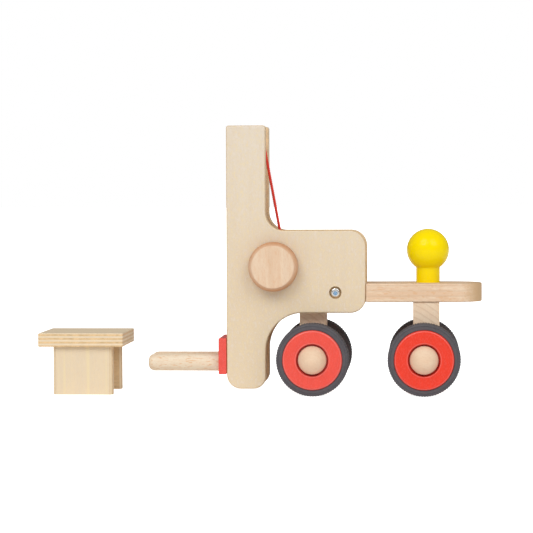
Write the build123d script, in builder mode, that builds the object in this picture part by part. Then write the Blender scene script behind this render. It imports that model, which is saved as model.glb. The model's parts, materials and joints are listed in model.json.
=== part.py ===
from build123d import *
import math
import os

# Wooden toy forklift with a cord winch, and a small pallet standing in front of it.
# Millimetres. +X points to the back of the truck, the forks point to -X, +Z is up.
# Y runs across, and the left side of the truck is -Y.
# The origin is on the floor, under the middle of the truck and pallet together.

os.makedirs("parts", exist_ok=True)

# Wheels and axles
wheel_radius = 33.0
rim_radius = 27.0
wheelbase = 100.6
front_axle_x = 48.9
rear_axle_x = front_axle_x + wheelbase
tyre_inner_y = 30.0
tyre_outer_y = 51.0
rim_inner_y = 30.2
rim_outer_y = 52.9
rim_recess_radius = 14.4
rim_recess_depth = 6.0
axle_radius = 5.0
axle_half_length = 55.0
running_clearance = 0.06
cap_radius = 12.9
cap_centre_y = 49.6
cap_inner_y = 47.3
washer_radius = 9.0
wheel_side_play = 0.3
tyre_shoulder_round = 2.2
rim_round = 1.2

# Side panels: birch plywood, one on each side
panel_inner_y = 16.8
panel_thickness = 12.0
panel_outer_y = panel_inner_y + panel_thickness
mast_front_x = -30.2
mast_rear_x = 5.6
mast_top_z = 245.2
toe_bottom_z = 5.2
body_bottom_z = 74.4
body_top_z = 149.6
body_rear_x = 96.8
panel_round = 1.5
toe_front_radius = 12.8
toe_rear_radius = 11.5
wheel_arch_radius = 34.5
body_bottom_radius = 14.0
body_top_radius = 15.0
mast_foot_radius = 16.8
mast_top_radius = 2.3

# Deck and the axle blocks below it
deck_bottom_z = 84.3
deck_thickness = 16.8
deck_top_z = deck_bottom_z + deck_thickness
deck_half_width = 30.0
deck_front_x = body_rear_x + 0.3
deck_rear_x = 202.3
deck_corner = 26.0
deck_round = 1.2
tongue_front_x = 36.8
block_length = 24.0
block_bottom_z = 20.0
block_round = 1.0
front_block_x = 47.8
rear_block_x = 151.5
front_block_half_width = panel_inner_y - 0.1
rear_block_half_width = 28.5
block_dowel_radius = 4.0
front_dowel_y = 8.0
rear_dowel_y = 18.0
block_dowel_length = 22.0
block_dowel_foot_z = deck_bottom_z - 12.5
deck_socket_depth = 10.0
block_socket_depth = 13.0
end_round = 0.6
screw_x = 69.0
screw_z = 93.0
screw_recess_radius = 5.7
screw_recess_depth = 3.8
screw_shank_radius = 2.0
screw_hole_radius = 2.1
screw_tip_y = 6.0

# Winch
winch_x = 12.9
winch_z = 116.7
shaft_radius = 6.1
shaft_half_length = 39.0
knob_radius = 22.5
knob_inner_y = 29.4
knob_outer_y = 43.2
knob_round = 3.2
knob_inner_round = 1.0

# Cord: over a rod at the top of the mast, down to the winch shaft
cord_radius = 1.1
top_rod_x = -5.15
top_rod_z = 230.0
top_rod_radius = 6.0
cord_rod_gap = 0.05
rod_socket_depth = 8.0
rod_end_play = 0.3
winding_half_width = 4.5
winding_gap = 0.1

# Carriage: plate with two forks, and the block that slides in the mast
plate_thickness = 7.4
plate_rear_x = mast_front_x - 0.3
plate_front_x = plate_rear_x - plate_thickness
plate_bottom_z = 18.3
plate_height = 33.0
plate_round = 1.0
fork_radius = 7.85
fork_y = 15.0
fork_z = 28.4
fork_tip_x = -103.5
fork_tip_round = 5.5
fork_tenon_radius = 6.0
slider_rear_x = 0.5
slider_top_z = 60.0
slider_half_width = 16.5
slider_round = 1.0
knot_radius = 3.2
knot_z = 23.0
knot_pocket_play = 0.5
cord_hole_play = 0.4
pin_radius = 3.0
pin_x = -20.0
pin_z = (27.0, 51.0)
pin_half_length = 20.6
groove_depth = 4.5
groove_width = 6.7
lift = 158.0
stop_rod_x = -12.0
stop_rod_z = 11.5
stop_rod_radius = 5.0

# Driver: a ball on a peg that drops into the deck
driver_x = 153.1
driver_ball_radius = 19.4
driver_ball_z = 131.1
driver_neck_radius = 10.9
driver_hole_depth = 10.5
driver_play = 0.1
driver_foot_round = 1.0

# Pallet
pallet_front_x = -deck_rear_x
pallet_length = 78.0
pallet_half_width = 40.0
pallet_top_z = 56.5
pallet_plate_thickness = 12.5
pallet_under_z = pallet_top_z - pallet_plate_thickness
leg_start_x = -189.2
leg_length = 54.7
leg_inner_y = 24.0
leg_thickness = 12.0
leg_round = 3.5
leg_middle_x = leg_start_x + leg_length / 2
leg_middle_y = leg_inner_y + leg_thickness / 2
pallet_round = 0.8
pallet_dowel_radius = 3.0
pallet_dowel_spacing = 29.0
pallet_dowel_length = 17.0
plate_socket_depth = 7.5
leg_socket_depth = 10.5
pallet_dowel_foot_z = pallet_under_z - leg_socket_depth + 0.5

SIDES = (("left", -1), ("right", 1))
AXLES = (("front", front_axle_x), ("rear", rear_axle_x))


def across(y):
    """Plane facing -Y at a distance y, with X to the right and Z up in the sketch."""
    return Plane.XZ.offset(-y)


def along(x):
    """Plane facing +X at a distance x, with Y to the right and Z up in the sketch."""
    return Plane.YZ.offset(x)


def keep(part, name):
    """Label a finished piece and write its STEP file."""
    part.label = name
    export_step(part, f"parts/{name}.step")


# ---------------------------------------------------------------- side panels
for side_name, side in SIDES:
    with BuildPart() as panel:
        with BuildSketch(across(side * panel_inner_y)) as outline:
            with BuildLine():
                Polyline(
                    (mast_front_x, toe_bottom_z),
                    (mast_rear_x, toe_bottom_z),
                    (mast_rear_x, body_bottom_z),
                    (body_rear_x, body_bottom_z),
                    (body_rear_x, body_top_z),
                    (mast_rear_x, body_top_z),
                    (mast_rear_x, mast_top_z),
                    (mast_front_x, mast_top_z),
                    close=True,
                )
            make_face()
            corners = (
                (mast_front_x, toe_bottom_z, toe_front_radius),
                (mast_rear_x, toe_bottom_z, toe_rear_radius),
                (mast_rear_x, body_bottom_z, wheel_arch_radius),
                (body_rear_x, body_bottom_z, body_bottom_radius),
                (body_rear_x, body_top_z, body_top_radius),
                (mast_rear_x, body_top_z, mast_foot_radius),
                (mast_rear_x, mast_top_z, mast_top_radius),
                (mast_front_x, mast_top_z, mast_top_radius),
            )
            for corner_x, corner_z, radius in corners:
                fillet(outline.vertices().sort_by_distance((corner_x, corner_z, 0))[0], radius)
        extrude(amount=-side * panel_thickness)
        fillet(panel.faces().sort_by(Axis.Y)[0].edges(), panel_round)
        fillet(panel.faces().sort_by(Axis.Y)[-1].edges(), panel_round)
        # Bore for the winch shaft, and the screw's clearance hole and recess
        with BuildSketch(across(side * panel_inner_y)):
            with Locations((winch_x, winch_z)):
                Circle(shaft_radius + running_clearance)
            with Locations((screw_x, screw_z)):
                Circle(screw_hole_radius)
        extrude(amount=-side * panel_thickness, mode=Mode.SUBTRACT)
        with BuildSketch(across(side * panel_outer_y)):
            with Locations((screw_x, screw_z)):
                Circle(screw_recess_radius)
        extrude(amount=side * screw_recess_depth, mode=Mode.SUBTRACT)
        # Blind sockets for the two rods, and the groove that guides the carriage
        with BuildSketch(across(side * panel_inner_y)):
            with Locations((top_rod_x, top_rod_z)):
                Circle(top_rod_radius)
            with Locations((stop_rod_x, stop_rod_z)):
                Circle(stop_rod_radius)
        extrude(amount=-side * rod_socket_depth, mode=Mode.SUBTRACT)
        groove_low = pin_z[0] - groove_width / 2
        groove_high = pin_z[1] + lift + groove_width / 2
        with BuildSketch(across(side * panel_inner_y)):
            with Locations((pin_x, (groove_low + groove_high) / 2)):
                SlotOverall(groove_high - groove_low, groove_width, rotation=90)
        extrude(amount=-side * groove_depth, mode=Mode.SUBTRACT)
    keep(panel.part, f"side_panel_{side_name}")

# ------------------------------------------------------------------------ deck
with BuildPart() as deck:
    with BuildSketch(Plane.XY.offset(deck_bottom_z)) as deck_outline:
        with Locations(((deck_front_x + deck_rear_x) / 2, 0)):
            Rectangle(deck_rear_x - deck_front_x, 2 * deck_half_width)
        fillet(deck_outline.vertices().group_by(Axis.X)[-1], deck_corner)
        with Locations(((tongue_front_x + deck_front_x) / 2, 0)):
            Rectangle(deck_front_x - tongue_front_x, 2 * panel_inner_y)
    extrude(amount=deck_thickness)
    wide_edges = deck.edges().filter_by_position(Axis.X, deck_front_x + 1, deck_rear_x)
    fillet(wide_edges.group_by(Axis.Z)[0] + wide_edges.group_by(Axis.Z)[-1], deck_round)
    with BuildSketch(Plane.XY.offset(deck_top_z)):
        with Locations((driver_x, 0)):
            Circle(driver_neck_radius + driver_play)
    extrude(amount=-driver_hole_depth, mode=Mode.SUBTRACT)
    # Pilot holes for the panel screws
    for _, side in SIDES:
        with BuildSketch(across(side * panel_inner_y)):
            with Locations((screw_x, screw_z)):
                Circle(screw_shank_radius)
        extrude(amount=side * (panel_inner_y - screw_tip_y), mode=Mode.SUBTRACT)
    # Sockets for the dowels of the two axle blocks
    with BuildSketch(Plane.XY.offset(deck_bottom_z)):
        with Locations((front_block_x, -front_dowel_y), (front_block_x, front_dowel_y)):
            Circle(block_dowel_radius)
        with Locations((rear_block_x, -rear_dowel_y), (rear_block_x, rear_dowel_y)):
            Circle(block_dowel_radius)
    extrude(amount=deck_socket_depth, mode=Mode.SUBTRACT)
keep(deck.part, "deck")

# ----------------------------------------------------- axle blocks and dowels
BLOCKS = (
    ("front", front_block_x, front_block_half_width, front_axle_x, front_dowel_y),
    ("rear", rear_block_x, rear_block_half_width, rear_axle_x, rear_dowel_y),
)
for block_name, block_x, half_width, axle_x, dowel_y in BLOCKS:
    block_height = deck_bottom_z - block_bottom_z
    with BuildPart() as block:
        with BuildSketch(Plane.XY.offset(block_bottom_z)):
            with Locations((block_x, 0)):
                Rectangle(block_length, 2 * half_width)
        extrude(amount=block_height)
        fillet(block.edges(), block_round)
        with BuildSketch(across(0)):
            with Locations((axle_x, wheel_radius)):
                Circle(axle_radius)
        extrude(amount=half_width, both=True, mode=Mode.SUBTRACT)
        with BuildSketch(Plane.XY.offset(deck_bottom_z)):
            with Locations((block_x, -dowel_y), (block_x, dowel_y)):
                Circle(block_dowel_radius)
        extrude(amount=-block_socket_depth, mode=Mode.SUBTRACT)
    keep(block.part, f"{block_name}_axle_block")

    with BuildPart() as dowels:
        with BuildSketch(Plane.XY.offset(block_dowel_foot_z)):
            with Locations((block_x, -dowel_y), (block_x, dowel_y)):
                Circle(block_dowel_radius)
        extrude(amount=block_dowel_length)
        fillet(dowels.edges().filter_by(GeomType.CIRCLE), end_round)
    keep(dowels.part, f"{block_name}_block_dowels")

# ------------------------------------------- axles, spacers, wheels, hub caps
for axle_name, axle_x in AXLES:
    axle_line = Axis((axle_x, 0, wheel_radius), (0, 1, 0))
    with BuildPart() as axle:
        with BuildSketch(across(0)):
            with Locations((axle_x, wheel_radius)):
                Circle(axle_radius)
        extrude(amount=axle_half_length, both=True)
        fillet(axle.edges().filter_by(GeomType.CIRCLE), end_round)
    keep(axle.part, f"{axle_name}_axle")

    block_face_y = front_block_half_width if axle_name == "front" else rear_block_half_width
    with BuildPart() as spacers:
        for _, side in SIDES:
            with BuildSketch(across(side * block_face_y)):
                with Locations((axle_x, wheel_radius)):
                    Circle(washer_radius)
                    Circle(axle_radius, mode=Mode.SUBTRACT)
            extrude(amount=-side * (rim_inner_y - wheel_side_play - block_face_y))
    keep(spacers.part, f"{axle_name}_axle_spacers")

    for side_name, side in SIDES:
        with BuildPart() as tyre:
            with BuildSketch(along(axle_x)) as tyre_profile:
                tyre_middle = side * (tyre_inner_y + tyre_outer_y) / 2
                with Locations((tyre_middle, wheel_radius + (rim_radius + wheel_radius) / 2)):
                    Rectangle(tyre_outer_y - tyre_inner_y, wheel_radius - rim_radius)
                fillet(tyre_profile.vertices().group_by(Axis.Z)[-1], tyre_shoulder_round)
            revolve(axis=axle_line)
        keep(tyre.part, f"{axle_name}_tyre_{side_name}")

        with BuildPart() as rim:
            with BuildSketch(across(side * rim_inner_y)):
                with Locations((axle_x, wheel_radius)):
                    Circle(rim_radius)
            extrude(amount=-side * (rim_outer_y - rim_inner_y))
            with BuildSketch(across(side * rim_outer_y)):
                with Locations((axle_x, wheel_radius)):
                    Circle(rim_recess_radius)
            extrude(amount=side * rim_recess_depth, mode=Mode.SUBTRACT)
            outer_edges = rim.edges().filter_by_position(
                Axis.Y, side * rim_outer_y - 0.01, side * rim_outer_y + 0.01
            )
            fillet(outer_edges, rim_round)
            with BuildSketch(across(side * rim_inner_y)):
                with Locations((axle_x, wheel_radius)):
                    Circle(axle_radius + running_clearance)
            extrude(amount=-side * (rim_outer_y - rim_inner_y), mode=Mode.SUBTRACT)
        keep(rim.part, f"{axle_name}_rim_{side_name}")

        # A turned ball with its inner side cut flat, glued on the end of the axle
        with BuildPart() as cap:
            with BuildSketch(along(axle_x)):
                with Locations((side * cap_centre_y, wheel_radius)):
                    Circle(cap_radius)
                with Locations((side * (cap_inner_y + cap_radius), wheel_radius + cap_radius / 2)):
                    Rectangle(2 * cap_radius, cap_radius, mode=Mode.INTERSECT)
            revolve(axis=axle_line)
            with BuildSketch(across(side * cap_inner_y)):
                with Locations((axle_x, wheel_radius)):
                    Circle(axle_radius)
            extrude(amount=-side * (axle_half_length - cap_inner_y), mode=Mode.SUBTRACT)
        keep(cap.part, f"{axle_name}_hub_cap_{side_name}")

# ----------------------------------------------------------------------- winch
winch_line = Axis((winch_x, 0, winch_z), (0, 1, 0))
with BuildPart() as shaft:
    with BuildSketch(across(0)):
        with Locations((winch_x, winch_z)):
            Circle(shaft_radius)
    extrude(amount=shaft_half_length, both=True)
keep(shaft.part, "winch_shaft")

for side_name, side in SIDES:
    with BuildPart() as knob:
        with BuildSketch(across(side * knob_inner_y)):
            with Locations((winch_x, winch_z)):
                Circle(knob_radius)
        extrude(amount=-side * (knob_outer_y - knob_inner_y))
        rims = knob.edges().filter_by(GeomType.CIRCLE).sort_by(Axis.Y)
        outer_rim, inner_rim = (rims[0], rims[-1]) if side < 0 else (rims[-1], rims[0])
        fillet(outer_rim, knob_round)
        fillet(inner_rim, knob_inner_round)
        with BuildSketch(across(side * knob_inner_y)):
            with Locations((winch_x, winch_z)):
                Circle(shaft_radius)
        extrude(amount=-side * (shaft_half_length - knob_inner_y), mode=Mode.SUBTRACT)
    keep(knob.part, f"winch_knob_{side_name}")

# ------------------------------------------------------------------------ cord
rod_reach = top_rod_radius + cord_rod_gap + cord_radius
shaft_reach = shaft_radius + cord_radius
run_x = winch_x - top_rod_x
run_z = winch_z - top_rod_z
# Direction from either centre to the cord's straight run behind the mast
tangent_angle = math.atan2(run_z, run_x) + math.acos((rod_reach - shaft_reach) / math.hypot(run_x, run_z))
tangent = Vector(math.cos(tangent_angle), math.sin(tangent_angle))
leave_rod = Vector(top_rod_x, top_rod_z) + tangent * rod_reach
meet_shaft = Vector(winch_x, winch_z) + tangent * shaft_reach
run_direction = (meet_shaft - leave_rod).normalized()
# The run stops where it would enter the winding that turns with the shaft
winding_radius = shaft_radius + 2 * cord_radius
run_short = math.sqrt((winding_radius + winding_gap) ** 2 - shaft_radius**2)
run_end = meet_shaft - run_direction * run_short
front_run_x = top_rod_x - rod_reach
arc_degrees = 180 - math.degrees(tangent_angle)

with BuildPart() as rear_run:
    with BuildLine(across(0)) as path:
        CenterArc((top_rod_x, top_rod_z), rod_reach, 180, -arc_degrees)
        Line((leave_rod.X, leave_rod.Y), (run_end.X, run_end.Y))
    with BuildSketch(Plane.XY.offset(top_rod_z)):
        with Locations((front_run_x, 0)):
            Circle(cord_radius)
    sweep(path=path.line)
keep(rear_run.part, "cord_rear_run")
path_length = math.radians(arc_degrees) * rod_reach + (run_end - leave_rod).length
section_volume = math.pi * cord_radius**2 * path_length
print("cord over the rod: length", round(path_length, 2), "bend radius", rod_reach)
print("cord volume", round(rear_run.part.volume, 2), "section times length", round(section_volume, 2))

with BuildPart() as front_run:
    with BuildSketch(Plane.XY.offset(slider_top_z)):
        with Locations((front_run_x, 0)):
            Circle(cord_radius)
    extrude(amount=top_rod_z - slider_top_z)
keep(front_run.part, "cord_front_run")

with BuildPart() as winding:
    with BuildSketch(across(0)):
        with Locations((winch_x, winch_z)):
            Circle(winding_radius)
            Circle(shaft_radius, mode=Mode.SUBTRACT)
    extrude(amount=winding_half_width, both=True)
keep(winding.part, "cord_winding")

with BuildPart() as anchor:
    with BuildSketch(Plane.XY.offset(knot_z)):
        with Locations((front_run_x, 0)):
            Circle(cord_radius)
    extrude(amount=slider_top_z - knot_z)
    with Locations((front_run_x, 0, knot_z)):
        Sphere(knot_radius)
keep(anchor.part, "cord_anchor_knot")

# ------------------------------------------------------- rods across the mast
RODS = (
    ("top_guide_rod", top_rod_x, top_rod_z, top_rod_radius),
    ("bottom_stop_rod", stop_rod_x, stop_rod_z, stop_rod_radius),
)
for rod_name, rod_x, rod_z, rod_radius in RODS:
    with BuildPart() as rod:
        with BuildSketch(across(0)):
            with Locations((rod_x, rod_z)):
                Circle(rod_radius)
        extrude(amount=panel_inner_y + rod_socket_depth - rod_end_play, both=True)
        fillet(rod.edges().filter_by(GeomType.CIRCLE), end_round)
    keep(rod.part, rod_name)

# -------------------------------------------------------------------- carriage
screw_heights = (27.5, 42.5)
head_radius = 3.6
head_depth = 2.2
shank_radius = 1.9
plate_cross_length = 3.6
plate_cross_width = 0.8
plate_cross_depth = 1.2
with BuildPart() as plate:
    with BuildSketch(along(plate_front_x)):
        with Locations((0, plate_bottom_z + plate_height / 2)):
            Rectangle(2 * panel_outer_y, plate_height)
    extrude(amount=plate_thickness)
    fillet(plate.edges(), plate_round)
    with BuildSketch(along(plate_front_x)):
        with Locations((-fork_y, fork_z), (fork_y, fork_z)):
            Circle(fork_tenon_radius)
        with Locations(*[(0, z) for z in screw_heights]):
            Circle(shank_radius)
    extrude(amount=plate_thickness, mode=Mode.SUBTRACT)
    with Locations(*[Location((plate_front_x + head_depth / 2, 0, z), (0, 90, 0)) for z in screw_heights]):
        Cone(head_radius, shank_radius, head_depth, mode=Mode.SUBTRACT)
keep(plate.part, "fork_plate")

for side_name, side in SIDES:
    with BuildPart() as fork:
        with BuildSketch(along(fork_tip_x)):
            with Locations((side * fork_y, fork_z)):
                Circle(fork_radius)
        extrude(amount=plate_front_x - fork_tip_x)
        fillet(fork.edges().filter_by(GeomType.CIRCLE).sort_by(Axis.X)[0], fork_tip_round)
        # The tenon that is glued into the plate
        with BuildSketch(along(plate_front_x)):
            with Locations((side * fork_y, fork_z)):
                Circle(fork_tenon_radius)
        extrude(amount=plate_thickness)
    keep(fork.part, f"fork_{side_name}")

screw_end_x = -24.2
with BuildPart() as slider:
    with BuildSketch(along(plate_rear_x)):
        with Locations((0, (plate_bottom_z + slider_top_z) / 2)):
            Rectangle(2 * slider_half_width, slider_top_z - plate_bottom_z)
    extrude(amount=slider_rear_x - plate_rear_x)
    fillet(slider.edges().filter_by(Axis.Y).group_by(Axis.X)[-1], slider_round)
    with BuildSketch(across(0)):
        with Locations(*[(pin_x, z) for z in pin_z]):
            Circle(pin_radius)
    extrude(amount=slider_half_width, both=True, mode=Mode.SUBTRACT)
    with BuildSketch(Plane.XY.offset(plate_bottom_z)):
        with Locations((front_run_x, 0)):
            Circle(cord_radius + cord_hole_play)
    extrude(amount=slider_top_z - plate_bottom_z, mode=Mode.SUBTRACT)
    with BuildSketch(Plane.XY.offset(plate_bottom_z)):
        with Locations((front_run_x, 0)):
            Circle(knot_radius + knot_pocket_play)
    extrude(amount=knot_z + knot_radius + cord_hole_play - plate_bottom_z, mode=Mode.SUBTRACT)
    with BuildSketch(along(plate_rear_x)):
        with Locations(*[(0, z) for z in screw_heights]):
            Circle(shank_radius)
    extrude(amount=screw_end_x - plate_rear_x, mode=Mode.SUBTRACT)
keep(slider.part, "slide_block")

with BuildPart() as pins:
    with BuildSketch(across(0)):
        with Locations(*[(pin_x, z) for z in pin_z]):
            Circle(pin_radius)
    extrude(amount=pin_half_length, both=True)
    fillet(pins.edges().filter_by(GeomType.CIRCLE), end_round)
keep(pins.part, "guide_pins")

# ---------------------------------------------------------------------- screws
with BuildPart() as plate_screws:
    with BuildSketch(along(plate_front_x)):
        with Locations(*[(0, z) for z in screw_heights]):
            Circle(shank_radius)
    extrude(amount=screw_end_x - plate_front_x)
    with Locations(*[Location((plate_front_x + head_depth / 2, 0, z), (0, 90, 0)) for z in screw_heights]):
        Cone(head_radius, shank_radius, head_depth)
    with BuildSketch(along(plate_front_x)):
        with Locations(*[(0, z) for z in screw_heights]):
            Rectangle(plate_cross_length, plate_cross_width)
            Rectangle(plate_cross_width, plate_cross_length)
    extrude(amount=plate_cross_depth, mode=Mode.SUBTRACT)
keep(plate_screws.part, "plate_screws")

panel_screw_seat_y = panel_outer_y - screw_recess_depth
panel_screw_head_radius = 4.6
panel_screw_head_height = 2.6
panel_screw_dome = 2.0
panel_cross_length = 4.6
panel_cross_width = 1.0
panel_cross_depth = 1.5
panel_cross_turn = 20
with BuildPart() as panel_screws:
    for _, side in SIDES:
        with BuildSketch(across(side * panel_screw_seat_y)):
            with Locations((screw_x, screw_z)):
                Circle(panel_screw_head_radius)
        extrude(amount=-side * panel_screw_head_height)
        with BuildSketch(across(side * panel_screw_seat_y)):
            with Locations((screw_x, screw_z)):
                Circle(screw_shank_radius)
        extrude(amount=side * (panel_screw_seat_y - screw_tip_y))
    fillet(panel_screws.edges().group_by(Axis.Y)[0], panel_screw_dome)
    fillet(panel_screws.edges().group_by(Axis.Y)[-1], panel_screw_dome)
    for _, side in SIDES:
        with BuildSketch(across(side * (panel_screw_seat_y + panel_screw_head_height))):
            with Locations((screw_x, screw_z)):
                Rectangle(panel_cross_length, panel_cross_width, rotation=panel_cross_turn)
                Rectangle(panel_cross_width, panel_cross_length, rotation=panel_cross_turn)
        extrude(amount=side * panel_cross_depth, mode=Mode.SUBTRACT)
keep(panel_screws.part, "panel_screws")

# ---------------------------------------------------------------------- driver
driver_line = Axis((driver_x, 0, 0), (0, 0, 1))
driver_foot_z = deck_top_z - driver_hole_depth + driver_play
with BuildPart() as driver:
    with BuildSketch(Plane.XY.offset(driver_foot_z)):
        with Locations((driver_x, 0)):
            Circle(driver_neck_radius)
    extrude(amount=driver_ball_z - driver_foot_z)
    fillet(driver.edges().filter_by(GeomType.CIRCLE).sort_by(Axis.Z)[0], driver_foot_round)
    with Locations((driver_x, 0, driver_ball_z)):
        Sphere(driver_ball_radius)
keep(driver.part, "driver_peg")

# ---------------------------------------------------------------------- pallet
with BuildPart() as pallet_plate:
    with BuildSketch(Plane.XY.offset(pallet_under_z)):
        with Locations((pallet_front_x + pallet_length / 2, 0)):
            Rectangle(pallet_length, 2 * pallet_half_width)
    extrude(amount=pallet_plate_thickness)
    fillet(pallet_plate.edges(), pallet_round)
    with BuildSketch(Plane.XY.offset(pallet_under_z)):
        with Locations((leg_middle_x, 0)):
            with GridLocations(pallet_dowel_spacing, 2 * leg_middle_y, 2, 2):
                Circle(pallet_dowel_radius)
    extrude(amount=plate_socket_depth, mode=Mode.SUBTRACT)
keep(pallet_plate.part, "pallet_plate")

for side_name, side in SIDES:
    with BuildPart() as leg:
        with BuildSketch(Plane.XY) as leg_outline:
            with Locations((leg_middle_x, side * leg_middle_y)):
                Rectangle(leg_length, leg_thickness)
            fillet(leg_outline.vertices(), leg_round)
        extrude(amount=pallet_under_z)
        with BuildSketch(Plane.XY.offset(pallet_under_z)):
            with Locations((leg_middle_x, side * leg_middle_y)):
                with GridLocations(pallet_dowel_spacing, 0, 2, 1):
                    Circle(pallet_dowel_radius)
        extrude(amount=-leg_socket_depth, mode=Mode.SUBTRACT)
    keep(leg.part, f"pallet_leg_{side_name}")

with BuildPart() as pallet_dowels:
    with BuildSketch(Plane.XY.offset(pallet_dowel_foot_z)):
        with Locations((leg_middle_x, 0)):
            with GridLocations(pallet_dowel_spacing, 2 * leg_middle_y, 2, 2):
                Circle(pallet_dowel_radius)
    extrude(amount=pallet_dowel_length)
    fillet(pallet_dowels.edges().filter_by(GeomType.CIRCLE), end_round)
keep(pallet_dowels.part, "pallet_dowels")
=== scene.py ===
"""Looks of a wooden toy forklift with a cord winch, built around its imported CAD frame.

Lengths are metres unless a name ends in _mm. +X is the back of the truck, +Z is up, and Y runs across.
"""
import json
import math

import bpy
import numpy as np
from bpy.props import FloatProperty, FloatVectorProperty, IntProperty
from bpy.types import Operator, PropertyGroup
from mathutils import Matrix, Vector


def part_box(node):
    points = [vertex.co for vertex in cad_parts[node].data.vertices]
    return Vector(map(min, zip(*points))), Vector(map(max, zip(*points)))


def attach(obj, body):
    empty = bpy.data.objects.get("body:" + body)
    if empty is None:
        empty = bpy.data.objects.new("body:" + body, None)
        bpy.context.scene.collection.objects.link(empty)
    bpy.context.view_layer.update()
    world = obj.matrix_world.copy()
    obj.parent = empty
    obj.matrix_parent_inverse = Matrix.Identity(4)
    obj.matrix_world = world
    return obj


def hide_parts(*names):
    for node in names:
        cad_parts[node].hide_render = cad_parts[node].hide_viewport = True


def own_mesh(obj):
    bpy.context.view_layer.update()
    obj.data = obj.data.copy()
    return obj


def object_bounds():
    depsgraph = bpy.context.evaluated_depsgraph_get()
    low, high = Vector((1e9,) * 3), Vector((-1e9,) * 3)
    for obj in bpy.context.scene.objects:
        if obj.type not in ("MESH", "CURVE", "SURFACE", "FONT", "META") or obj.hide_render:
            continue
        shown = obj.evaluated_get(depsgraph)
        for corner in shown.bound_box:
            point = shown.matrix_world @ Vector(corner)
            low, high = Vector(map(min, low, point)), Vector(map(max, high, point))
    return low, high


bl_info = {
    "name": "Wooden toy forklift",
    "version": (1, 0, 0),
    "blender": (4, 5, 0),
    "location": "View3D > Sidebar > Forklift",
    "description": "Turned, sawn and wound pieces of a wooden toy forklift, with their finishes",
    "category": "Object",
}

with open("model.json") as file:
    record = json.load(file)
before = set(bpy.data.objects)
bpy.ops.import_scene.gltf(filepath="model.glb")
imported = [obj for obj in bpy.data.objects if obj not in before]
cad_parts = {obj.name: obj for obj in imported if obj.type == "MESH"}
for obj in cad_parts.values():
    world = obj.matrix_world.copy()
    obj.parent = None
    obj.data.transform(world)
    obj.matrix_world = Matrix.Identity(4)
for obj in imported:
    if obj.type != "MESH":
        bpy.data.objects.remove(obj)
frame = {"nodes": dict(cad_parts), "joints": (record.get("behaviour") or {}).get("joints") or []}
CAD_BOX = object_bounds()
NODES = frame["nodes"]
SIDES = (("left", -1), ("right", 1))
AXLES = ("front", "rear")
X, Y, Z = 0, 1, 2
MM = 0.001


# ------------------------------------------------------------------ settings
def colour_property(name, description, default):
    """A linear colour a user can change."""
    return FloatVectorProperty(
        name=name, description=description, subtype="COLOR", size=3, min=0, max=1, default=default
    )


class ForkliftWood(PropertyGroup):
    """Colours of the bare and lacquered wood."""

    birch: colour_property("Birch", "Face veneer of the plywood", (0.752, 0.662, 0.540))
    birch_shade: colour_property("Birch shade", "Darker bands of the face veneer", (0.700, 0.575, 0.425))
    birch_gold: colour_property("Birch gold", "Yellower patches of the face veneer", (0.78, 0.640, 0.405))
    birch_rose: colour_property("Birch rose", "Pinker patches of the face veneer", (0.765, 0.665, 0.565))
    # Painted shade: the face veneer is painted darker and warmer towards the floor
    birch_painted_low_shade: colour_property("Birch, low", "Face veneer near the floor", (0.742, 0.598, 0.408))
    ply_core: colour_property("Ply core", "Cross layers seen on a plywood edge", (0.83, 0.58, 0.31))
    beech: colour_property("Beech", "Planed and turned beech", (0.785, 0.610, 0.445))
    beech_shade: colour_property("Beech shade", "Darker bands of the beech", (0.71, 0.475, 0.305))
    cap: colour_property("Cap beech", "Turned caps in the wheels", (0.80, 0.605, 0.432))
    deck: colour_property("Deck beech", "Beech of the deck and the blocks", (0.835, 0.672, 0.502))
    fork: colour_property("Fork beech", "Paler beech of the forks", (0.815, 0.705, 0.545))
    # Painted shade: darker brown painted on the knobs' rounded rims, with darker end grain at top and bottom
    painted_rim_shade: colour_property("Singed", "Turned edges browned by the tool", (0.54, 0.225, 0.085))
    fleck: colour_property("Fleck", "Rays that show as short dashes", (0.70, 0.38, 0.17))
    red: colour_property("Red lacquer", "Front rims", (0.825, 0.076, 0.050))
    deep_red: colour_property("Deep red lacquer", "Rear rims", (0.82, 0.038, 0.012))
    plate_red: colour_property("Plate lacquer", "Fork plate", (0.825, 0.088, 0.066))
    yellow: colour_property("Yellow lacquer", "Driver", (0.955, 0.722, 0.0))


class ForkliftMetal(PropertyGroup):
    """The screws' plating."""

    bright: colour_property("Bright", "Zinc plating", (0.80, 0.80, 0.78))
    dull: colour_property("Dull", "Brushed streaks in the plating", (0.62, 0.62, 0.61))
    # Painted reflection: a blue patch painted in the lower middle of each screw head
    blue: colour_property("Blue", "Passivated middle of a head", (0.36, 0.58, 0.82))


class ForkliftRubber(PropertyGroup):
    """The tyres."""

    rubber: colour_property("Rubber", "Tyres", (0.081, 0.075, 0.083))
    dust: colour_property("Dust", "Pale specks on the rubber", (0.22, 0.21, 0.21))
    rib_count: IntProperty(
        name="Ribs", description="Ribs across the tread, all the way round", default=84, min=12, max=160
    )
    rib_depth: FloatProperty(
        name="Rib depth", description="Depth of the grooves between the ribs",
        default=0.34 * MM, min=0, max=2 * MM, unit="LENGTH", precision=5,
    )


class ForkliftCord(PropertyGroup):
    """The lifting cord."""

    dye: colour_property("Cord", "Dyed cord", (0.96, 0.082, 0.055))
    strands: IntProperty(name="Strands", description="Twisted strands", default=3, min=2, max=5)
    lay: FloatProperty(
        name="Lay", description="Length of one twist of the strands",
        default=5.2 * MM, min=2 * MM, max=20 * MM, unit="LENGTH", precision=5,
    )
    turns: FloatProperty(
        name="Turns", description="Turns of cord left on the shaft with the forks down",
        default=4.25, min=1, max=8,
    )


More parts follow.
